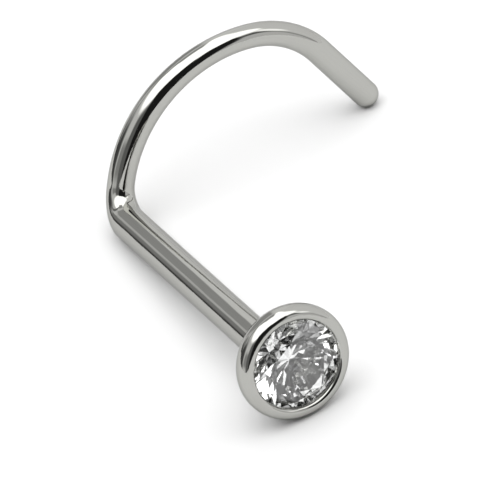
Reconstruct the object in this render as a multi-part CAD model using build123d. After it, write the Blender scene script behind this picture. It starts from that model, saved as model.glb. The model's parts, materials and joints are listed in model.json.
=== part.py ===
"""Nose stud of the screw kind: a round clear stone in a bezel cup, a straight post and an open hook.

Two pieces, each a solid of its own:
    hook_post_and_cup  the metal, one soldered piece: cup, post, thinning bend, arched hook, rounded tip
    round_stone        the round brilliant-cut stone that the cup holds

The stud is drawn in its own frame first, and then laid down as it rests by itself. In its own frame +Y runs
along the post from the cup to the hook, -Y is the way the stone faces, and the hook curves in a plane along
XZ, out towards +X. At rest the stud stands on three points: the cup's edge, the bend and the hook's tip.
Lengths are in millimetres and angles in degrees.
"""

from build123d import *
import math
import os

# ---- post and hook --------------------------------------------------------------------------------------------
POST_DIA = 0.80  # 20 gauge wire
POST_REACH = 8.70  # from the middle of the cup's side wall to the plane of the hook
POST_OFFSET = 0.155  # the cup's axis lies this far from the post's, towards the hook
BEND_RADIUS = 0.69  # of the centre line, where the post turns into the hook
BEND_ANGLE = 90.0
HOOK_HEADING = 40.4  # direction in which the hook leaves the bend, above +X

# The hook's centre line after the bend: arcs that each turn clockwise, seen from the back of the stud.
#            radius, turn
HOOK_ARCS = [(3.42, 78.2), (2.20, 52.2)]
TIP_LENGTH = 1.70  # straight wire after the arcs, to the centre of the rounded end

# The wire is drawn down from the post to the hook, and is a little fuller again at its tip.
#             length along the wire from the start of the bend, diameter
WIRE_TAPER = [(0.00, 0.80), (1.15, 0.62), (1.95, 0.62), (5.80, 0.56), (7.75, 0.61)]
TAPER_STEPS = 4  # sections of the swept wire between two rows of the taper
RUN_IN = 0.3  # straight wire at each end of the sweep, so that it runs on smoothly

# ---- bezel cup, in radii and in depths along +Y from the middle of its side wall ------------------------------
CUP_NOD = -2.0  # the cup sits a little askew on the post: turned about X by this, then about Z
CUP_SWING = 3.0
CUP_RADIUS = 1.305
WALL_FRONT = -0.045
WALL_BACK = 0.167  # where the wall and the slope of the back would meet without their rounding
LIP_WIDTH = 0.20  # outer quarter oval of the lip, from the side wall in to its crest
LIP_HEIGHT = 0.25
LIP_INNER_ROUND = 0.10  # from the crest in to the opening, which is a little smaller than the stone
LIP_INNER = -0.165  # depth at which the opening starts to widen round the stone
BACK_ANGLE = 41.0  # slope of the cup's back, parallel to the stone's
BACK_ROUND = 0.40  # rounding between the side wall and the back
SOLDER_LEDGE = 0.12  # width of the flat ring round the post that the solder fillet covers
SOLDER_ROUND = 0.11

# ---- stone, a round brilliant ---------------------------------------------------------------------------------
STONE_RADIUS = 1.085
GIRDLE_FRONT = -0.07  # depth of the girdle's front edge in the cup
GIRDLE_HEIGHT = 0.05
TABLE_SHARE = 0.56  # table's corner-to-corner width over the stone's
CROWN_ANGLE = 34.5
STAR_SHARE = 0.52  # reach of the star facets from the table towards the girdle
PAVILION_ANGLE = 41.0
LOWER_SHARE = 0.78  # reach of the lower halves from the girdle towards the point
STONE_TURN = 1.0  # turn of the facets about the cup's axis
FOLD = 8  # main facets of the crown, and of the pavilion
GIRDLE_SIDES = 32
STONE_GAP = 0.020  # between the stone and the cup

TOLERANCE = 0.001  # for telling edges apart


def curve_ends():
    """Lengths along the wire, from the start of the bend, at which the bend and each arc of the hook end."""
    ends = [BEND_RADIUS * math.radians(BEND_ANGLE)]
    for radius, turn in HOOK_ARCS:
        ends.append(ends[-1] + radius * math.radians(turn))
    return ends


def centre_line(length):
    """Point, tangent and section x direction at a length along the wire from the start of the bend."""
    heading = math.radians(HOOK_HEADING)
    out = Vector(math.cos(heading), 0, math.sin(heading))
    along = Vector(0, 1, 0)
    start = Vector(0, POST_REACH - BEND_RADIUS, 0)
    if length <= 0:
        return start + along * length, along, -out
    turned = min(length / BEND_RADIUS, math.radians(BEND_ANGLE))
    point = start + along * (BEND_RADIUS * math.sin(turned)) + out * (BEND_RADIUS * (1 - math.cos(turned)))
    tangent = along * math.cos(turned) + out * math.sin(turned)
    section_x = along * math.sin(turned) - out * math.cos(turned)
    left = length - BEND_RADIUS * turned
    for radius, turn in HOOK_ARCS:
        step = min(left, radius * math.radians(turn))
        centre = point + Vector(math.sin(heading), 0, -math.cos(heading)) * radius
        heading -= step / radius
        point = centre - Vector(math.sin(heading), 0, -math.cos(heading)) * radius
        left -= step
        if left > 0 or step > 0:
            tangent = Vector(math.cos(heading), 0, math.sin(heading))
    return point + tangent * left, tangent, section_x


def wire_radius(length):
    """Radius of the wire at a length from the start of the bend, eased between the rows of the taper."""
    place = min(max(length, 0.0), WIRE_TAPER[-1][0])
    for (start, dia_a), (end, dia_b) in zip(WIRE_TAPER, WIRE_TAPER[1:]):
        if place <= end:
            t = (place - start) / (end - start)
            return (dia_a + (dia_b - dia_a) * t * t * (3 - 2 * t)) / 2


def section_plane(length):
    """Plane across the wire at a length from the start of the bend."""
    point, tangent, section_x = centre_line(length)
    return Plane(point, x_dir=section_x, z_dir=tangent)


def bent_wire():
    """Bend and hook, swept through sections that thin and thicken along the centre line."""
    ends = curve_ends()
    path = [Line(centre_line(-RUN_IN)[0], centre_line(0)[0])]
    for start, end in zip([0] + ends, ends):
        path.append(ThreePointArc(*(centre_line(length)[0] for length in (start, (start + end) / 2, end))))
    path.append(Line(centre_line(ends[-1])[0], centre_line(ends[-1] + RUN_IN)[0]))
    places = [-RUN_IN]
    for (start, _), (end, _) in zip(WIRE_TAPER, WIRE_TAPER[1:]):
        places += [start + (end - start) * i / TAPER_STEPS for i in range(TAPER_STEPS)]
    places += [WIRE_TAPER[-1][0], ends[-1] + RUN_IN]
    rings = [section_plane(place) * Circle(wire_radius(place)) for place in places]
    return sweep(rings, path=Wire(path), multisection=True)


def wire():
    """Post, bend, hook and rounded tip as one solid."""
    post_length = POST_REACH - BEND_RADIUS - RUN_IN - WALL_BACK
    to_here = (Align.CENTER, Align.CENTER, Align.MAX)
    post = section_plane(-RUN_IN) * Cylinder(POST_DIA / 2, post_length, align=to_here)
    end = curve_ends()[-1] + TIP_LENGTH
    tip = section_plane(end) * Cylinder(wire_radius(end), TIP_LENGTH - RUN_IN, align=to_here)
    return post + bent_wire() + tip + section_plane(end) * Sphere(wire_radius(end))


def in_cup(vector):
    """A point of the cup's own frame, brought to where the cup sits on the post."""
    return vector.rotate(Axis.X, CUP_NOD).rotate(Axis.Z, CUP_SWING) + Vector(POST_OFFSET, 0, 0)


def on_post(piece):
    """A piece of the cup's own frame, brought to where the cup sits on the post."""
    return Pos(POST_OFFSET, 0, 0) * piece.rotate(Axis.X, CUP_NOD).rotate(Axis.Z, CUP_SWING)


def lip_points():
    """Crest of the lip, and the foot of its inner rounding, as radius and depth."""
    crest = (CUP_RADIUS - LIP_WIDTH, WALL_FRONT - LIP_HEIGHT)
    return crest, (crest[0] - LIP_INNER_ROUND, crest[1] + LIP_INNER_ROUND)


def cup_outside():
    """Bezel cup without its hollow, turned about its axis."""
    back_radius = POST_DIA / 2 + POST_OFFSET + SOLDER_LEDGE
    back_depth = WALL_BACK + (CUP_RADIUS - back_radius) * math.tan(math.radians(BACK_ANGLE))
    crest, inner_foot = lip_points()
    wall_foot = (CUP_RADIUS, WALL_BACK)
    inner = CenterArc((crest[0], inner_foot[1]), LIP_INNER_ROUND, start_angle=180, arc_size=90)
    outer = EllipticalCenterArc((crest[0], WALL_FRONT), LIP_WIDTH, LIP_HEIGHT, start_angle=270, arc_size=90)
    rest = Polyline(
        (CUP_RADIUS, WALL_FRONT),
        wall_foot,
        (back_radius, back_depth),
        (0, back_depth),
        (0, inner_foot[1]),
        inner_foot,
    )
    face = make_face([inner, outer, rest])
    corner = [v for v in face.vertices() if (Vector(v) - Vector(*wall_foot)).length < STONE_GAP]
    return revolve(fillet(corner, BACK_ROUND), Axis.Y)


def cup_hollow():
    """Hollow of the cup: the opening, a wall that leans in over the stone, and the stone's seat."""
    pavilion = math.tan(math.radians(PAVILION_ANGLE))
    opening = lip_points()[1][0]
    radius = STONE_RADIUS + STONE_GAP
    back = GIRDLE_FRONT + GIRDLE_HEIGHT + STONE_GAP
    profile = Polyline(
        (0, -CUP_RADIUS),
        (opening, -CUP_RADIUS),
        (opening, LIP_INNER),
        (radius, GIRDLE_FRONT),
        (radius, back),
        (0, back + radius * pavilion),
        close=True,
    )
    return revolve(make_face(profile), Axis.Y)


def from_post_axis(edge):
    """Least and greatest distance of an edge from the post's axis."""
    points = [edge.position_at(i / 8) for i in range(9)]
    distances = [math.hypot(point.X, point.Z) for point in points]
    return min(distances), max(distances)


def metal():
    """Cup and wire as one soldered solid, with a fillet of solder round the post."""
    body = on_post(cup_outside()) + wire()
    joint = []
    for edge in body.edges():
        near, far = from_post_axis(edge)
        at_post = abs(near - POST_DIA / 2) < TOLERANCE and abs(far - POST_DIA / 2) < TOLERANCE
        if at_post and edge.geom_type != GeomType.LINE and edge.center().Y < POST_REACH / 2:
            joint.append(edge)
    return fillet(joint, SOLDER_ROUND) - on_post(cup_hollow())


def polar(radius, azimuth, height):
    """Point of the stone's own frame, whose +Z runs from the girdle's middle to the table."""
    turn = math.radians(azimuth)
    return Vector(radius * math.cos(turn), radius * math.sin(turn), height)


def outward_plane(a, b, c):
    """Plane through three points, with its normal away from the stone's middle."""
    normal = (b - a).cross(c - a).normalized()
    if normal.dot(a) < 0:
        normal = -normal
    return Plane(a, z_dir=normal)


def facet_planes():
    """Planes of all facets but the table and the girdle, and the table's height."""
    girdle = GIRDLE_HEIGHT / 2
    step = 360 / FOLD
    half_cos = math.cos(math.radians(step / 2))
    crown = math.tan(math.radians(CROWN_ANGLE))
    pavilion = math.tan(math.radians(PAVILION_ANGLE))
    table_radius = TABLE_SHARE * STONE_RADIUS
    table_height = girdle + (STONE_RADIUS - table_radius) * crown
    star_radius = table_radius * half_cos + STAR_SHARE * (STONE_RADIUS - table_radius * half_cos)
    star_height = girdle + (STONE_RADIUS - star_radius * half_cos) * crown
    lower_radius = STONE_RADIUS * (1 - LOWER_SHARE)
    lower_height = -girdle - (STONE_RADIUS - lower_radius * half_cos) * pavilion
    #         sign of the height, slope, where two halves meet between the main facets
    halves = [(1, crown, star_radius, star_height), (-1, pavilion, lower_radius, lower_height)]
    planes = []
    for k in range(FOLD):
        main = STONE_TURN + (k + 0.5) * step
        corner = polar(table_radius, main, table_height)
        next_corner = polar(table_radius, main + step, table_height)
        star = polar(star_radius, main + step / 2, star_height)
        planes.append(outward_plane(corner, next_corner, star))
        for sign, slope, meet_radius, meet_height in halves:
            rim = polar(STONE_RADIUS, main, sign * girdle)
            above = polar(0, main, sign * (girdle + slope * STONE_RADIUS))
            planes.append(outward_plane(rim, above, rim + polar(1, main + 90, 0)))
            for side in (-1, 1):
                next_rim = polar(STONE_RADIUS, main + side * step / 2, sign * girdle)
                meeting = polar(meet_radius, main + side * step / 2, meet_height)
                planes.append(outward_plane(rim, next_rim, meeting))
    return planes, table_height


def stone():
    """Round brilliant: a many-sided prism cut by its facet planes, with the table towards -Y."""
    planes, table_height = facet_planes()
    outline = RegularPolygon(STONE_RADIUS, GIRDLE_SIDES, rotation=STONE_TURN)
    blank = extrude(outline, table_height) + extrude(outline, -STONE_RADIUS)
    for cut in planes:
        blank = split(blank, bisect_by=cut, keep=Keep.BOTTOM)
    girdle_middle = GIRDLE_FRONT + GIRDLE_HEIGHT / 2
    return on_post(Plane((0, girdle_middle, 0), x_dir=(1, 0, 0), z_dir=(0, -1, 0)) * blank)


def turned(vector, roll, tilt):
    """A vector of the stud's frame after the roll about Y and then the tilt about X, in radians."""
    return vector.rotate(Axis.Y, math.degrees(roll)).rotate(Axis.X, math.degrees(tilt))


def foot_heights(roll, tilt):
    """Height of the lowest point of the cup's edge, of the bend and of the tip, for a roll and a tilt."""
    axis = turned(in_cup(Vector(0, 1, 0)) - in_cup(Vector(0, 0, 0)), roll, tilt)
    spread = math.sqrt(1 - axis.Z**2)
    edge_depth = WALL_BACK - BACK_ROUND * math.tan(math.radians(90 - BACK_ANGLE) / 2)
    centre = turned(in_cup(Vector(0, edge_depth, 0)), roll, tilt).Z
    cup_foot = centre - (CUP_RADIUS - BACK_ROUND) * spread - BACK_ROUND
    finest = WIRE_TAPER[1][0] / 200
    bend = [turned(centre_line(i * finest)[0], roll, tilt).Z - wire_radius(i * finest) for i in range(600)]
    end = curve_ends()[-1] + TIP_LENGTH
    tip_foot = turned(centre_line(end)[0], roll, tilt).Z - wire_radius(end)
    return cup_foot, min(bend), tip_foot


def rest_angles():
    """Roll and tilt, in radians, at which the cup's edge, the bend and the tip touch one level surface."""
    tip = centre_line(curve_ends()[-1] + TIP_LENGTH)[0]
    roll, tilt = math.atan2(tip.Z, tip.X), 0.0
    for _ in range(20):
        cup_foot, bend_foot, tip_foot = foot_heights(roll, tilt)
        roll += math.atan2(tip_foot - bend_foot, tip.X)
        tilt += math.atan2(cup_foot - bend_foot, POST_REACH)
    return roll, tilt


def main():
    """Builds both pieces, lays them down as the stud rests, and writes one STEP file for each."""
    pieces = {"hook_post_and_cup": metal(), "round_stone": stone()}
    roll, tilt = rest_angles()
    x_dir, z_dir = turned(Vector(1, 0, 0), roll, tilt), turned(Vector(0, 0, 1), roll, tilt)
    as_drawn = Plane((0, 0, 0), x_dir=x_dir, z_dir=z_dir)
    box = Compound([as_drawn * piece for piece in pieces.values()]).bounding_box()
    middle = box.center()
    laid = Plane((-middle.X, -middle.Y, -box.min.Z), x_dir=x_dir, z_dir=z_dir)
    os.makedirs("parts", exist_ok=True)
    for name, piece in pieces.items():
        export_step(laid * piece, f"parts/{name}.step")
    print("roll and tilt", round(math.degrees(roll), 3), round(math.degrees(tilt), 3))
    print("feet", [round(height - box.min.Z, 4) for height in foot_heights(roll, tilt)])
    print("middle of the post", laid.from_local_coords(Vector(0, POST_REACH / 2, 0)))
    print("along the post", turned(Vector(0, 1, 0), roll, tilt))
    print("volumes", [round(piece.volume, 4) for piece in pieces.values()])


main()
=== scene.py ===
"""Nose stud: the looks of its metal and its stone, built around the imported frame.

The stud is modelled in millimetres in its own frame, in which +Y runs along the post from the cup to the
hook, -Y is the way the stone faces, and the hook curves in a plane along XZ. One matrix then lays it down in
the frame's metres, as it rests on a table.
"""

import json
import logging
import math
from dataclasses import dataclass, field
from enum import Enum
from typing import Any, Optional, Sequence

import bmesh
import bpy
from mathutils import Matrix, Vector


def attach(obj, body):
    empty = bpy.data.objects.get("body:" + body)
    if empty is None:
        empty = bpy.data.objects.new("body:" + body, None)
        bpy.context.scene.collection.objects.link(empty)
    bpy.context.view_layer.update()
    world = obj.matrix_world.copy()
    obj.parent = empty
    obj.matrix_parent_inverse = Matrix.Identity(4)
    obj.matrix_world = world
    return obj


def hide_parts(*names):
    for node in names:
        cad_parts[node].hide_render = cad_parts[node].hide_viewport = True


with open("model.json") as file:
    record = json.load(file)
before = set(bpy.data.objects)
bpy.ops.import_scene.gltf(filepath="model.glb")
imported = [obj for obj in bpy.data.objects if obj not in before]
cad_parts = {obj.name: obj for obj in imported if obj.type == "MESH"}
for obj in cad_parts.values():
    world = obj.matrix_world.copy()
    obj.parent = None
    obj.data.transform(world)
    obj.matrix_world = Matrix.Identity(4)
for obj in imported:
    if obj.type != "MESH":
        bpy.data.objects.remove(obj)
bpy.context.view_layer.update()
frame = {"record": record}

LOG = logging.getLogger("nose_stud")
BODY = "root"
METAL_NODE = "hook_post_and_cup"
STONE_NODE = "round_stone"
METRES = 0.001  # in a millimetre
POST_REACH = 8.70  # millimetres, from the back of the stone's seat to the plane of the hook
SIDES = 144  # round the wire and round the cup
TINY = 1e-5  # millimetres

Point = tuple[float, float]
Colour = tuple[float, float, float, float]


class Shape(Enum):
    """Outline of a soft panel of the studio."""

    SQUARE = "square"
    ROUND = "round"


class Zone(Enum):
    """Part of the metal, in the order of its finishes."""

    CUP = 0
    WIRE = 1
    HOLLOW = 2


class Blend(Enum):
    """What a mix node mixes: its data type, the numbers of its two inputs, and the number of its output."""

    NUMBERS = ("FLOAT", 2, 3, 0)
    COLOURS = ("RGBA", 6, 7, 2)


# ---- small helpers ---------------------------------------------------------------------------------------


class Nodes:
    """Adds and joins the nodes of one tree."""

    def __init__(self, tree: bpy.types.NodeTree) -> None:
        """Starts with an empty tree.

        Args:
            tree: the node tree to fill.
        """
        self.tree = tree
        self.tree.nodes.clear()

    def add(self, kind: str, inputs: Optional[dict[Any, Any]] = None, **settings: Any) -> bpy.types.Node:
        """Adds a node.

        Args:
            kind: type name of the node.
            inputs: for each input's name or number, a value, or the output that feeds it.
            settings: the node's own properties.

        Returns:
            The new node.
        """
        node = self.tree.nodes.new(kind)
        for name, value in settings.items():
            setattr(node, name, value)
        for name, value in (inputs or {}).items():
            if isinstance(value, bpy.types.NodeSocket):
                self.tree.links.new(value, node.inputs[name])
            else:
                node.inputs[name].default_value = value
        return node

    def math(self, operation: str, *values: Any) -> bpy.types.NodeSocket:
        """Adds a math node.

        Args:
            operation: the node's operation.
            values: its inputs in order, numbers or outputs.

        Returns:
            The node's output.
        """
        return self.add("ShaderNodeMath", dict(enumerate(values)), operation=operation).outputs[0]

    def ease(self, value: Any, low: float, high: float, start: float = 0.0,
             end: float = 1.0) -> bpy.types.NodeSocket:
        """Eases from start to end as a value goes from low to high.

        Args:
            value: the output to read.
            low: value at which it starts.
            high: value at which it ends.
            start: result at low.
            end: result at high.

        Returns:
            The eased output.
        """
        numbers = {"Value": value, "From Min": low, "From Max": high, "To Min": start, "To Max": end}
        return self.add("ShaderNodeMapRange", numbers, interpolation_type="SMOOTHSTEP").outputs[0]

    def mix(self, blend: Blend, share: Any, first: Any, second: Any) -> bpy.types.NodeSocket:
        """Mixes two numbers or colours.

        Args:
            blend: whether it mixes numbers or colours.
            share: how much of the second.
            first: a value or an output.
            second: a value or an output.

        Returns:
            The mixed output.
        """
        data_type, first_input, second_input, output = blend.value
        inputs = {0: share, first_input: first, second_input: second}
        return self.add("ShaderNodeMix", inputs, data_type=data_type).outputs[output]


def grey(value: float) -> Colour:
    """Gives a grey of that brightness as a colour."""
    return value, value, value, 1.0


def rotation(degrees: float, axis: str) -> Matrix:
    """Gives the matrix that turns by an angle about an axis."""
    return Matrix.Rotation(math.radians(degrees), 4, axis)


def new_material(name: str) -> tuple[bpy.types.Material, Nodes]:
    """Makes a material with an empty node tree.

    Args:
        name: the material's name.

    Returns:
        The material, and a helper for its tree.
    """
    material = bpy.data.materials.new(name)
    material.use_nodes = True
    return material, Nodes(material.node_tree)


def finish_object(bm: bmesh.types.BMesh, name: str, place: Matrix, materials: Sequence[bpy.types.Material],
                  smooth_angle: Optional[float]) -> bpy.types.Object:
    """Turns a bmesh into an object that sits at the origin, with its place in its mesh.

    Args:
        bm: the shape, in millimetres; it is freed.
        name: the object's name.
        place: from the stud's millimetres to the frame's metres.
        materials: its finishes in slot order.
        smooth_angle: in degrees, above which an edge shows as sharp, or None for flat facets.

    Returns:
        The linked object.
    """
    bmesh.ops.transform(bm, matrix=place, verts=bm.verts[:])
    for face in bm.faces:
        face.smooth = smooth_angle is not None
    mesh = bpy.data.meshes.new(name)
    bm.to_mesh(mesh)
    bm.free()
    if smooth_angle is not None:
        mesh.set_sharp_from_angle(angle=math.radians(smooth_angle))
    for material in materials:
        mesh.materials.append(material)
    piece = bpy.data.objects.new(name, mesh)
    bpy.context.scene.collection.objects.link(piece)
    return piece


def line(start: Point, end: Point, steps: int) -> list[Point]:
    """Gives points along a straight line, without its start.

    Args:
        start: first point.
        end: last point.
        steps: number of equal parts.

    Returns:
        The points, the end among them.
    """
    return [(start[0] + (end[0] - start[0]) * i / steps, start[1] + (end[1] - start[1]) * i / steps)
            for i in range(1, steps + 1)]


def arc(centre: Point, start: Point, end: Point, steps: int) -> list[Point]:
    """Gives points along the shorter arc between two points, without its start.

    Args:
        centre: centre of the arc.
        start: first point.
        end: last point.
        steps: number of chords.

    Returns:
        The points, the end among them.
    """
    radius = math.dist(centre, start)
    first = math.atan2(start[1] - centre[1], start[0] - centre[0])
    turn = math.remainder(math.atan2(end[1] - centre[1], end[0] - centre[0]) - first, math.tau)
    angles = [first + turn * i / steps for i in range(1, steps + 1)]
    return [(centre[0] + radius * math.cos(a), centre[1] + radius * math.sin(a)) for a in angles]


# ---- finishes --------------------------------------------------------------------------------------------


@dataclass(frozen=True)
class MarkPattern:
    """Noise that shows as marks on a surface."""

    detail: float
    roughness: float
    bare: float  # noise up to which there is no mark
    full: float  # noise from which the mark is full

    def add(self, nodes: Nodes, vector: Any, scale: Any) -> bpy.types.NodeSocket:
        """Adds the pattern to a tree.

        Args:
            nodes: the tree's helper.
            vector: output that the pattern follows.
            scale: output with how fine it is.

        Returns:
            The marks, from 0 to 1.
        """
        noise = nodes.add("ShaderNodeTexNoise", {"Vector": vector, "Scale": scale, "Detail": self.detail,
                                                 "Roughness": self.roughness})
        return nodes.ease(noise.outputs[0], self.bare, self.full)


FINE_LINES = MarkPattern(detail=3.0, roughness=0.55, bare=0.35, full=0.7)
BROAD_SMEAR = MarkPattern(detail=4.0, roughness=0.6, bare=0.45, full=0.75)


def polish_marks() -> bpy.types.NodeTree:
    """Builds the group for what polishing and handling leave on a hard surface, once.

    Returns:
        The node group: Marks are fine lines along the grain, Haze is a broad soft smear.
    """
    name = "polish_marks"
    if name in bpy.data.node_groups:
        return bpy.data.node_groups[name]
    group = bpy.data.node_groups.new(name, "ShaderNodeTree")
    for socket, kind in (("Grain", "NodeSocketVector"), ("Place", "NodeSocketVector"),
                         ("Fineness", "NodeSocketFloat"), ("Haze Size", "NodeSocketFloat")):
        group.interface.new_socket(socket, in_out="INPUT", socket_type=kind)
    for socket in ("Marks", "Haze"):
        group.interface.new_socket(socket, in_out="OUTPUT", socket_type="NodeSocketFloat")
    nodes = Nodes(group)
    given = nodes.add("NodeGroupInput").outputs
    marks = FINE_LINES.add(nodes, given["Grain"], given["Fineness"])
    haze = BROAD_SMEAR.add(nodes, given["Place"], given["Haze Size"])
    nodes.add("NodeGroupOutput", {"Marks": marks, "Haze": haze})
    return group


def add_wear(nodes: Nodes, grain: Any, place: Any, fineness: float,
             haze_size: float) -> tuple[bpy.types.NodeSocket, bpy.types.NodeSocket]:
    """Places the polish marks in a material.

    Args:
        nodes: the material's tree.
        grain: output that the fine lines follow.
        place: output that the haze follows.
        fineness: lines to the grain's unit of length.
        haze_size: smears to the metre.

    Returns:
        The marks and the haze.
    """
    inputs = {"Grain": grain, "Place": place, "Fineness": fineness, "Haze Size": haze_size}
    wear = nodes.add("ShaderNodeGroup", inputs, node_tree=polish_marks())
    return wear.outputs["Marks"], wear.outputs["Haze"]


def add_surface(nodes: Nodes, inputs: dict[str, Any]) -> None:
    """Ends a material's tree in a surface with those inputs."""
    shader = nodes.add("ShaderNodeBsdfPrincipled", inputs)
    nodes.add("ShaderNodeOutputMaterial", {"Surface": shader.outputs[0]})


@dataclass(frozen=True)
class PolishedSteel:
    """Mirror-polished surgical steel, with marks along its grain."""

    name: str
    bright: Colour = (0.440, 0.440, 0.418, 1.0)
    dull: Colour = (0.420, 0.418, 0.394, 1.0)
    edge: Colour = grey(0.62)  # tint at grazing angles
    roughness: float = 0.05
    haze_roughness: float = 0.09
    haze_size: float = 600.0  # smears to the metre
    fineness: float = 26.0  # marks to the millimetre across the grain
    depth: float = 0.0006  # of a mark, in millimetres
    relief: float = 0.35  # share of that depth that shows

    def material(self) -> bpy.types.Material:
        """Builds the finish.

        Returns:
            The material.
        """
        material, nodes = new_material(self.name)
        grain = nodes.add("ShaderNodeAttribute", attribute_name="grain").outputs["Vector"]
        place = nodes.add("ShaderNodeTexCoord").outputs["Object"]
        marks, haze = add_wear(nodes, grain, place, self.fineness, self.haze_size)
        mean = nodes.math("MULTIPLY", nodes.math("ADD", marks, haze), 0.5)
        colour = nodes.mix(Blend.COLOURS, mean, self.bright, self.dull)
        roughness = nodes.ease(haze, 0.0, 1.0, self.roughness, self.haze_roughness)
        bump = nodes.add("ShaderNodeBump", {"Strength": self.relief, "Distance": self.depth * METRES,
                                            "Height": marks})
        add_surface(nodes, {"Base Color": colour, "Metallic": 1.0, "Specular Tint": self.edge,
                            "Roughness": roughness, "Normal": bump.outputs[0]})
        return material


@dataclass(frozen=True)
class ClearStone:
    """Colourless cut stone with a trace of haze on its facets."""

    name: str = "clear_stone"
    index: float = 2.15
    clear: Colour = (0.96, 0.965, 0.96, 1.0)
    tinted: Colour = (0.94, 0.95, 0.94, 1.0)
    roughness: float = 0.0
    haze_roughness: float = 0.012
    haze_size: float = 1500.0  # smears to the metre
    fineness: float = 9000.0  # marks to the metre

    def material(self) -> bpy.types.Material:
        """Builds the finish.

        Returns:
            The material.
        """
        material, nodes = new_material(self.name)
        place = nodes.add("ShaderNodeTexCoord").outputs["Object"]
        _, haze = add_wear(nodes, place, place, self.fineness, self.haze_size)
        colour = nodes.mix(Blend.COLOURS, haze, self.clear, self.tinted)
        roughness = nodes.ease(haze, 0.0, 1.0, self.roughness, self.haze_roughness)
        add_surface(nodes, {"Base Color": colour, "Metallic": 0.0, "IOR": self.index, "Roughness": roughness,
                            "Transmission Weight": 1.0})
        return material


@dataclass(frozen=True)
class PaleFloor:
    """Matt white sheet with a barely uneven surface."""

    name: str = "pale_sheet"
    light: Colour = grey(0.80)
    shade: Colour = grey(0.79)
    mottle_size: float = 40.0  # patches to the metre
    mottle_detail: float = 3.0
    roughness: float = 0.9

    def material(self) -> bpy.types.Material:
        """Builds the finish.

        Returns:
            The material.
        """
        material, nodes = new_material(self.name)
        place = nodes.add("ShaderNodeTexCoord").outputs["Object"]
        mottle = nodes.add("ShaderNodeTexNoise", {"Vector": place, "Scale": self.mottle_size,
                                                  "Detail": self.mottle_detail})
        colour = nodes.mix(Blend.COLOURS, mottle.outputs[0], self.light, self.shade)
        add_surface(nodes, {"Base Color": colour, "Roughness": self.roughness, "Specular IOR Level": 0.0})
        return material


# ---- where the stud lies ---------------------------------------------------------------------------------


@dataclass
class Placement:
    """How the stud lies in the frame."""

    post_reach: float = POST_REACH
    roll: float = -26.706  # degrees about the post, to where the hook's tip touches the table

    def matrix(self) -> Matrix:
        """Gives the matrix from the stud's millimetres to the frame's metres.

        Returns:
            The matrix, from the record's mount on the middle of the post.
        """
        mount = frame["record"]["mounts"][0]
        axis = Vector(mount["axis"]).normalized()
        lying = Matrix.Rotation(math.atan2(axis.z, axis.y), 4, "X") @ rotation(self.roll, "Y")
        middle = Matrix.Translation(Vector(mount["pos_m"]))
        return middle @ lying @ Matrix.Scale(METRES, 4) @ Matrix.Translation((0, -self.post_reach / 2, 0))


# ---- the metal -------------------------------------------------------------------------------------------


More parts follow.
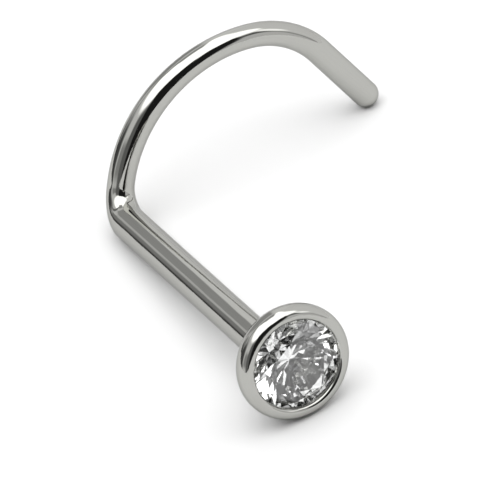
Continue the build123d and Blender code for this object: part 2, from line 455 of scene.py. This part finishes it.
@dataclass
class Cup:
    """Bezel cup: turned wall, lip rolled over the stone, hollow and sloping back.

    Depths are in millimetres along +Y from the back of the stone's seat, and angles are in degrees.
    """

    offset: float = 0.155  # of the cup's axis from the post's, towards the hook
    nod: float = -2.0  # degrees by which the cup sits askew on the post, about X
    swing: float = 3.0  # the same about Z
    radius: float = 1.305
    wall_front: float = -0.045
    wall_back: float = 0.167
    lip_width: float = 0.20  # from the side wall in to the crest
    lip_height: float = 0.25  # from the side wall up to the crest
    inner_round: float = 0.10  # from the crest in to the opening
    lip_inner: float = -0.165
    back_angle: float = 41.0
    back_round: float = 0.40
    back_radius: float = 0.675
    seat_radius: float = 1.105
    seat_front: float = -0.07
    seat_back: float = 0.0
    inner_steps: int = 16  # chords of the round from the opening to the crest
    lip_steps: int = 40  # chords from the crest to the side wall
    back_steps: int = 20  # chords of the round from the side wall to the back
    flat_steps: int = 2  # parts of the side wall, and of the back
    grain_depth: float = 1.7  # how far the turning marks shift with depth
    grain_round: float = 0.1  # how much they change round the cup

    @property
    def slope(self) -> float:
        """Depth that the back gains for each millimetre towards the axis, inside and out."""
        return math.tan(math.radians(self.back_angle))

    @property
    def back_depth(self) -> float:
        """Depth of the flat ring that the post is soldered to."""
        return self.wall_back + (self.radius - self.back_radius) * self.slope

    def profile(self) -> list[Point]:
        """Draws half of the cup's section.

        Returns:
            Radius and depth from the bottom of the hollow, over the lip, to the flat ring at the back.
        """
        crest = (self.radius - self.lip_width, self.wall_front - self.lip_height)
        round_centre = (crest[0], crest[1] + self.inner_round)
        round_foot = (crest[0] - self.inner_round, round_centre[1])
        points = [(0.0, self.seat_back + self.seat_radius * self.slope), (self.seat_radius, self.seat_back),
                  (self.seat_radius, self.seat_front), (round_foot[0], self.lip_inner), round_foot]
        points += arc(round_centre, round_foot, crest, self.inner_steps)
        for i in range(1, self.lip_steps + 1):
            turn = math.radians(90 * (1 - i / self.lip_steps))
            points.append((crest[0] + self.lip_width * math.cos(turn),
                           self.wall_front - self.lip_height * math.sin(turn)))
        back_turn = math.radians(90 - self.back_angle)
        tangent = self.back_round * math.tan(back_turn / 2)
        wall_foot = (self.radius, self.wall_back - tangent)
        slope_top = (self.radius - tangent * math.sin(back_turn),
                     self.wall_back + tangent * math.cos(back_turn))
        points += line((self.radius, self.wall_front), wall_foot, self.flat_steps)
        points += arc((self.radius - self.back_round, wall_foot[1]), wall_foot, slope_top, self.back_steps)
        return points + line(slope_top, (self.back_radius, self.back_depth), self.flat_steps)

    def in_hollow(self, vert: bmesh.types.BMVert) -> bool:
        """Tells whether a vertex, before the cup is posed, lies in the hollow behind the stone."""
        near_axis = math.hypot(vert.co.x, vert.co.z) < self.seat_radius + TINY
        return near_axis and vert.co.y > self.seat_front - TINY

    def build(self, bm: bmesh.types.BMesh, grain: Any) -> list[bmesh.types.BMEdge]:
        """Spins the cup about its axis.

        Args:
            bm: the metal's bmesh.
            grain: vertex layer that the polishing marks follow.

        Returns:
            The open ring at the back, which the post joins.
        """
        points = [bm.verts.new((radius, depth, 0)) for radius, depth in self.profile()]
        edges = [bm.edges.new(pair) for pair in zip(points, points[1:])]
        bmesh.ops.spin(bm, geom=points + edges, cent=(0, 0, 0), axis=(0, 1, 0), angle=math.tau, steps=SIDES,
                       use_merge=True)
        bmesh.ops.remove_doubles(bm, verts=bm.verts[:], dist=TINY)
        for vert in bm.verts:
            away = Vector((vert.co.x, vert.co.z))
            around = math.atan2(away.y, away.x)
            vert[grain] = (away.length + self.grain_depth * vert.co.y, self.grain_round * math.cos(around),
                           self.grain_round * math.sin(around))
        for face in bm.faces:
            hidden = all(self.in_hollow(vert) for vert in face.verts)
            face.material_index = Zone.HOLLOW.value if hidden else Zone.CUP.value
        bmesh.ops.transform(bm, matrix=self.pose(), verts=bm.verts[:])
        return [edge for edge in bm.edges if edge.is_boundary]

    def pose(self) -> Matrix:
        """Gives the matrix that carries the cup from the post's axis, where it is drawn, to its place."""
        askew = rotation(self.swing, "Z") @ rotation(self.nod, "X")
        return Matrix.Translation((self.offset, 0, 0)) @ askew


@dataclass
class Wire:
    """Post, bend, hook and rounded tip, drawn from one wire that thins after the bend.

    Lengths are in millimetres, and angles are in degrees.
    """

    reach: float = POST_REACH
    diameter: float = 0.80
    bend_radius: float = 0.69
    bend_angle: float = 90.0
    heading: float = 40.4  # in which the hook leaves the bend, above +X
    hook_arcs: tuple[Point, ...] = ((3.42, 78.2), (2.20, 52.2))  # radius, turn
    tip_length: float = 1.70
    taper: tuple[Point, ...] = (  # length from the start of the bend, diameter
        (0.0, 0.80), (1.15, 0.62), (1.95, 0.62), (5.80, 0.56), (7.75, 0.61))
    solder_round: float = 0.11
    solder_steps: int = 16  # chords of the solder's round
    post_steps: int = 24  # parts of the straight post
    ball_steps: int = 28  # chords of the tip's round
    step: float = 0.05  # between two rings of the bend and hook
    grain_stretch: float = 0.06  # of the drawing marks along the wire

    @property
    def curve_end(self) -> float:
        """Length along the wire at which the hook's last arc ends."""
        turns = [(self.bend_radius, self.bend_angle), *self.hook_arcs]
        return sum(radius * math.radians(turn) for radius, turn in turns)

    def diameter_at(self, length: float) -> float:
        """Gives how thick the wire is at some place.

        Args:
            length: from the start of the bend.

        Returns:
            The diameter, which eases from one size of the taper to the next.
        """
        place = min(max(length, 0.0), self.taper[-1][0])
        for (start, first), (end, second) in zip(self.taper, self.taper[1:]):
            if place <= end:
                t = (place - start) / (end - start)
                return first + (second - first) * t * t * (3 - 2 * t)
        return self.taper[-1][1]

    def station(self, length: float, radius: float) -> Matrix:
        """Gives the matrix that carries a flat unit circle to the wire's section.

        Args:
            length: along the wire from the start of the bend; the post has negative lengths.
            radius: of the section.

        Returns:
            The matrix.
        """
        heading = math.radians(self.heading)
        out, along = Vector((math.cos(heading), 0, math.sin(heading))), Vector((0, 1, 0))
        point = along * (self.reach - self.bend_radius)
        turned = min(max(length, 0.0) / self.bend_radius, math.radians(self.bend_angle))
        point += (along * math.sin(turned) + out * (1 - math.cos(turned))) * self.bend_radius
        tangent = along * math.cos(turned) + out * math.sin(turned)
        section_x = along * math.sin(turned) - out * math.cos(turned)
        left = length - self.bend_radius * turned
        for arc_radius, turn in self.hook_arcs:
            swept = min(max(left, 0.0), arc_radius * math.radians(turn))
            centre = point + Vector((math.sin(heading), 0, -math.cos(heading))) * arc_radius
            heading -= swept / arc_radius
            if swept > TINY:
                point = centre - Vector((math.sin(heading), 0, -math.cos(heading))) * arc_radius
                tangent = Vector((math.cos(heading), 0, math.sin(heading)))
                left -= swept
        point += tangent * left
        axes = Matrix((section_x, tangent.cross(section_x), tangent)).transposed().to_4x4()
        return Matrix.Translation(point) @ axes @ Matrix.Diagonal((radius, radius, 1, 1))

    def sections(self, back_depth: float) -> list[Point]:
        """Gives length and radius of each ring, from the solder on the cup's back to the tip's end.

        Args:
            back_depth: depth of the cup's flat back ring.

        Returns:
            The rings in order.
        """
        half, bend_start = self.diameter / 2, self.reach - self.bend_radius
        foot = (back_depth - bend_start, half + self.solder_round)
        top = (foot[0] + self.solder_round, half)
        rings = [foot] + arc((top[0], foot[1]), foot, top, self.solder_steps)
        rings += [(top[0] * (1 - i / self.post_steps), half) for i in range(1, self.post_steps + 1)]
        end = self.curve_end + self.tip_length
        steps = math.ceil(end / self.step)
        rings += [(end * i / steps, self.diameter_at(end * i / steps) / 2) for i in range(1, steps + 1)]
        ball = self.diameter_at(end) / 2
        rings += arc((end, 0.0), (end, ball), (end + ball, 0.0), self.ball_steps)[:-1]
        return rings + [(end + ball, TINY)]

    def build(self, bm: bmesh.types.BMesh, grain: Any, cup: Cup,
              opening: list[bmesh.types.BMEdge]) -> None:
        """Extrudes the wire ring by ring out of the cup's back.

        Args:
            bm: the metal's bmesh.
            grain: vertex layer that the drawing marks follow.
            cup: the cup that the wire is soldered to.
            opening: open ring of the cup's back.
        """
        rings = self.sections(cup.back_depth)
        last, edges, ring = cup.pose() @ self.station(rings[0][0], cup.back_radius), opening, []
        for length, radius in rings:
            extruded = bmesh.ops.extrude_edge_only(bm, edges=edges)["geom"]
            ring = [item for item in extruded if isinstance(item, bmesh.types.BMVert)]
            edges = [item for item in extruded if isinstance(item, bmesh.types.BMEdge)
                     and all(vert in ring for vert in item.verts)]
            here = self.station(length, radius)
            bmesh.ops.transform(bm, matrix=here @ last.inverted(), verts=ring)
            self.mark(ring, grain, length, here)
            for item in extruded:
                if isinstance(item, bmesh.types.BMFace):
                    item.material_index = Zone.WIRE.value
            last = here
        bmesh.ops.pointmerge(bm, verts=ring, merge_co=last.translation)

    def mark(self, ring: Sequence[bmesh.types.BMVert], grain: Any, length: float, station: Matrix) -> None:
        """Writes where a ring's vertices are round and along the wire, for its drawing marks.

        Args:
            ring: vertices of one section.
            grain: vertex layer to write to.
            length: the section's place along the wire.
            station: the section's matrix.
        """
        back = station.inverted()
        for vert in ring:
            flat = back @ vert.co
            vert[grain] = (flat.x * self.diameter / 2, flat.y * self.diameter / 2,
                           length * self.grain_stretch)


@dataclass
class Metal:
    """Cup and wire, soldered into one piece."""

    cup: Cup = field(default_factory=Cup)
    wire: Wire = field(default_factory=Wire)
    cup_finish: PolishedSteel = PolishedSteel("turned_steel")
    wire_finish: PolishedSteel = PolishedSteel("drawn_steel")
    # darker, rougher steel on the faces of the hollow behind the stone: its base colour is under half as
    # bright as the polished cup's
    hollow_finish: PolishedSteel = PolishedSteel(
        "dim_hollow_steel", bright=(0.20, 0.20, 0.192, 1.0), dull=(0.16, 0.16, 0.153, 1.0), roughness=0.18,
        haze_roughness=0.25)
    sharp_angle: float = 25.0  # degrees, above which an edge shows as sharp

    def build(self, place: Matrix) -> bpy.types.Object:
        """Args:
            place: from the stud's millimetres to the frame's metres.

        Returns:
            The piece.
        """
        bm = bmesh.new()
        grain = bm.verts.layers.float_vector.new("grain")
        opening = self.cup.build(bm, grain)
        self.wire.build(bm, grain, self.cup, opening)
        bmesh.ops.recalc_face_normals(bm, faces=bm.faces[:])
        finishes = [finish.material() for finish in (self.cup_finish, self.wire_finish, self.hollow_finish)]
        piece = finish_object(bm, "steel_stud", place, finishes, self.sharp_angle)
        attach(piece, BODY)
        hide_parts(METAL_NODE)
        return piece


# ---- the stone -------------------------------------------------------------------------------------------


@dataclass
class BrilliantStone:
    """Round brilliant: a blank cut by the plane of each facet."""

    cup: Cup = field(default_factory=Cup)
    radius: float = 1.085
    girdle_front: float = -0.07
    girdle_height: float = 0.05
    table_share: float = 0.56
    crown_angle: float = 34.5
    star_share: float = 0.52
    pavilion_angle: float = 41.0
    lower_share: float = 0.78
    turn: float = 1.0  # degrees about its axis
    fold: int = 8
    girdle_sides: int = 32
    blank_length: float = 4.0  # in radii
    finish: ClearStone = ClearStone()

    def polar(self, radius: float, azimuth: float, height: float) -> Vector:
        """Gives a point of the stone's own frame, whose +Z runs towards the table."""
        turn = math.radians(azimuth)
        return Vector((radius * math.cos(turn), radius * math.sin(turn), height))

    def facets(self) -> list[tuple[Vector, Vector, Vector]]:
        """Places the facets.

        Returns:
            Three points on the plane of each facet, the table last.
        """
        girdle, step = self.girdle_height / 2, 360 / self.fold
        half_cos = math.cos(math.radians(step / 2))
        crown, pavilion = (math.tan(math.radians(a)) for a in (self.crown_angle, self.pavilion_angle))
        table_radius = self.table_share * self.radius
        table_height = girdle + (self.radius - table_radius) * crown
        star_radius = table_radius * half_cos + self.star_share * (self.radius - table_radius * half_cos)
        star_height = girdle + (self.radius - star_radius * half_cos) * crown
        lower_radius = self.radius * (1 - self.lower_share)
        lower_height = -girdle - (self.radius - lower_radius * half_cos) * pavilion
        halves = [(1, crown, star_radius, star_height), (-1, pavilion, lower_radius, lower_height)]
        planes = []
        for k in range(self.fold):
            main = self.turn + (k + 0.5) * step
            planes.append((self.polar(table_radius, main, table_height),
                           self.polar(table_radius, main + step, table_height),
                           self.polar(star_radius, main + step / 2, star_height)))
            for sign, slope, meet_radius, meet_height in halves:
                rim = self.polar(self.radius, main, sign * girdle)
                above = self.polar(0, main, sign * (girdle + slope * self.radius))
                planes.append((rim, above, rim + self.polar(1, main + 90, 0)))
                for side in (-1, 1):
                    next_rim = self.polar(self.radius, main + side * step / 2, sign * girdle)
                    meeting = self.polar(meet_radius, main + side * step / 2, meet_height)
                    planes.append((rim, next_rim, meeting))
        level = self.polar(0, 0, table_height)
        return planes + [(level, level + Vector((1, 0, 0)), level + Vector((0, 1, 0)))]

    def build(self, place: Matrix) -> bpy.types.Object:
        """Args:
            place: from the stud's millimetres to the frame's metres.

        Returns:
            The piece.
        """
        bm = bmesh.new()
        bmesh.ops.create_cone(bm, cap_ends=True, segments=self.girdle_sides, radius1=self.radius,
                              radius2=self.radius, depth=self.blank_length * self.radius,
                              matrix=rotation(self.turn, "Z"))
        for a, b, c in self.facets():
            normal = (b - a).cross(c - a).normalized()
            if normal.dot(a) < 0:
                normal.negate()
            bmesh.ops.bisect_plane(bm, geom=bm.verts[:] + bm.edges[:] + bm.faces[:], dist=TINY, plane_co=a,
                                   plane_no=normal, clear_outer=True)
            bmesh.ops.holes_fill(bm, edges=[edge for edge in bm.edges if edge.is_boundary], sides=0)
        bmesh.ops.recalc_face_normals(bm, faces=bm.faces[:])
        girdle_middle = self.girdle_front + self.girdle_height / 2
        in_cup = self.cup.pose() @ Matrix.Translation((0, girdle_middle, 0)) @ rotation(90, "X")
        LOG.info("stone has %d facets", len(bm.faces))
        piece = finish_object(bm, "brilliant_stone", place @ in_cup, [self.finish.material()], None)
        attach(piece, BODY)
        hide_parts(STONE_NODE)
        return piece


# ---- studio and camera -----------------------------------------------------------------------------------


@dataclass(frozen=True)
class SoftPanel:
    """Soft-edged light, wall or dark panel, placed by its direction from the stud in degrees."""

    heading: float  # of its middle, from the front towards the right
    width: float
    low: float
    high: float
    brightness: float
    softness: float = 6.0
    lean: float = 0.0  # degrees of heading that it shifts by for each degree above its middle
    shape: Shape = Shape.SQUARE

    def paint(self, nodes: Nodes, heading: Any, height: Any, under: Any) -> bpy.types.NodeSocket:
        """Lays the panel over what is there.

        Args:
            nodes: the world's tree.
            heading: output with the direction's heading.
            height: output with its angle above the horizon.
            under: output with the brightness so far.

        Returns:
            The new brightness.
        """
        middle, half, soft = (self.low + self.high) / 2, self.width / 2, self.softness
        rise = nodes.math("SUBTRACT", height, middle)
        off = nodes.math("SUBTRACT", nodes.math("SUBTRACT", heading, self.heading),
                         nodes.math("MULTIPLY", rise, self.lean))
        off = nodes.math("ABSOLUTE", nodes.math("WRAP", off, 180.0, -180.0))
        if self.shape is Shape.ROUND:
            tall = (self.high - self.low) / 2
            across = nodes.math("POWER", nodes.math("DIVIDE", off, half), 2.0)
            upward = nodes.math("POWER", nodes.math("DIVIDE", nodes.math("ABSOLUTE", rise), tall), 2.0)
            reach = nodes.math("SQRT", nodes.math("ADD", across, upward))
            edge = soft / min(half, tall)
            mask = nodes.ease(reach, 1 - edge, 1 + edge, 1.0, 0.0)
        else:
            sides = nodes.ease(off, half - soft, half + soft, 1.0, 0.0)
            bottom = nodes.ease(height, self.low - soft, self.low + soft)
            top = nodes.ease(height, self.high - soft, self.high + soft, 1.0, 0.0)
            mask = nodes.math("MULTIPLY", sides, nodes.math("MULTIPLY", bottom, top))
        return nodes.mix(Blend.NUMBERS, mask, under, self.brightness)


@dataclass
class Studio:
    """White sheet under a large overhead light, with soft walls and light and dark panels all round."""

    floor_size: float = 3.0  # metres from its middle to its edge
    floor_sides: int = 96
    walls: float = 0.97
    overhead: float = 2.6
    overhead_from: float = 47.0
    overhead_softness: float = 4.0
    # a later panel covers an earlier one
    panels: tuple[SoftPanel, ...] = (
        SoftPanel(heading=115, width=124, low=-60, high=62, brightness=1.05, softness=3, shape=Shape.ROUND),
        SoftPanel(heading=157, width=18, low=2, high=40, brightness=1.15, softness=3),
        SoftPanel(heading=180, width=36, low=46, high=68, brightness=0.5, softness=4),
        SoftPanel(heading=-175, width=31, low=4, high=38, brightness=0.50, softness=2),
        SoftPanel(heading=-157, width=5, low=8, high=44, brightness=0.8, softness=2),
        SoftPanel(heading=-149, width=11, low=-10, high=20, brightness=0.36, softness=2),
        SoftPanel(heading=-76, width=40, low=6, high=28, brightness=0.42, softness=5),
        SoftPanel(heading=-123, width=40, low=-30, high=33, brightness=0.10, softness=7, shape=Shape.ROUND),
        SoftPanel(heading=-128, width=56, low=-20, high=7, brightness=0.10, softness=3),
        SoftPanel(heading=-48, width=34, low=-20, high=44, brightness=0.20, softness=6),
        SoftPanel(heading=-150, width=10, low=24, high=56, brightness=0.25, softness=2, lean=-0.83),
        SoftPanel(heading=28, width=44, low=-20, high=29, brightness=0.85, softness=3),
        SoftPanel(heading=55, width=16, low=24, high=46, brightness=2.0, softness=4),
        SoftPanel(heading=48, width=9, low=-10, high=41, brightness=0.45, softness=3, lean=-0.6),
        SoftPanel(heading=34, width=26, low=29, high=42, brightness=0.16, softness=4),
        SoftPanel(heading=-15, width=42, low=-20, high=51, brightness=0.02, softness=2),
        SoftPanel(heading=5, width=28, low=-20, high=49, brightness=0.02, softness=2, lean=0.5),
    )
    finish: PaleFloor = PaleFloor()
    stone_bounces: int = 24  # of light within the stone, and of all light
    mirror_bounces: int = 12  # of light between polished surfaces

    def build(self) -> None:
        """Lays the sheet, paints the world, and sets how its light is traced and shown."""
        bm = bmesh.new()
        bmesh.ops.create_circle(bm, cap_ends=True, segments=self.floor_sides, radius=self.floor_size / METRES)
        floor = finish_object(bm, "pale_sheet", Matrix.Scale(METRES, 4), [self.finish.material()], None)
        self.paint_world()
        scene = bpy.context.scene
        scene.view_settings.view_transform = "Standard"
        scene.cycles.max_bounces = self.stone_bounces
        scene.cycles.transmission_bounces = self.stone_bounces
        scene.cycles.glossy_bounces = self.mirror_bounces

    def paint_world(self) -> None:
        """Paints walls, overhead light and panels by the direction in which they lie."""
        world = bpy.data.worlds.new("studio")
        world.use_nodes = True
        bpy.context.scene.world = world
        nodes = Nodes(world.node_tree)
        direction = nodes.add("ShaderNodeTexCoord").outputs["Generated"]
        away = nodes.add("ShaderNodeSeparateXYZ", {0: direction}).outputs
        forward = nodes.math("MULTIPLY", away["Y"], -1.0)
        heading = nodes.math("DEGREES", nodes.math("ARCTAN2", away["X"], forward))
        height = nodes.math("DEGREES", nodes.math("ARCSINE", away["Z"]))
        low, high = self.overhead_from - self.overhead_softness, self.overhead_from + self.overhead_softness
        brightness = nodes.ease(height, low, high, self.walls, self.overhead)
        for panel in self.panels:
            brightness = panel.paint(nodes, heading, height, brightness)
        shade = nodes.add("ShaderNodeBackground", {"Color": grey(1.0), "Strength": brightness})
        nodes.add("ShaderNodeOutputWorld", {"Surface": shade.outputs[0]})


@dataclass
class Camera:
    """Long lens that looks down on the stud from its front left."""

    aim: tuple[float, float, float] = (-1.2611, 0.9719, 0.7009)  # millimetres in the frame
    heading: float = -18.680  # degrees, as are the next two
    height: float = 36.404
    roll: float = -14.783
    distance: float = 170.485  # millimetres from the aim
    lens: float = 581.25
    sensor: float = 36.0
    nearest: float = 0.01  # metres at which things start to show

    def build(self) -> bpy.types.Object:
        """Places the camera and makes it the scene's.

        Returns:
            The camera.
        """
        data = bpy.data.cameras.new("long_lens")
        data.lens, data.sensor_width, data.clip_start = self.lens, self.sensor, self.nearest
        camera = bpy.data.objects.new("long_lens", data)
        bpy.context.scene.collection.objects.link(camera)
        turn = rotation(self.heading, "Z") @ rotation(90 - self.height, "X")
        back = Matrix.Translation((0, 0, self.distance * METRES)) @ rotation(self.roll, "Z")
        camera.matrix_world = Matrix.Translation(Vector(self.aim) * METRES) @ turn @ back
        bpy.context.scene.camera = camera
        return camera


def main() -> None:
    """Builds the studio, the camera and the stud."""
    logging.basicConfig(level=logging.INFO, format="%(message)s")
    Studio().build()
    Camera().build()
    place = Placement().matrix()
    for piece in (Metal().build(place), BrilliantStone().build(place)):
        piece.data.calc_loop_triangles()
        LOG.info("%s: %d triangles", piece.name, len(piece.data.loop_triangles))
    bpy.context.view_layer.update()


if __name__ == "__main__":
    main()
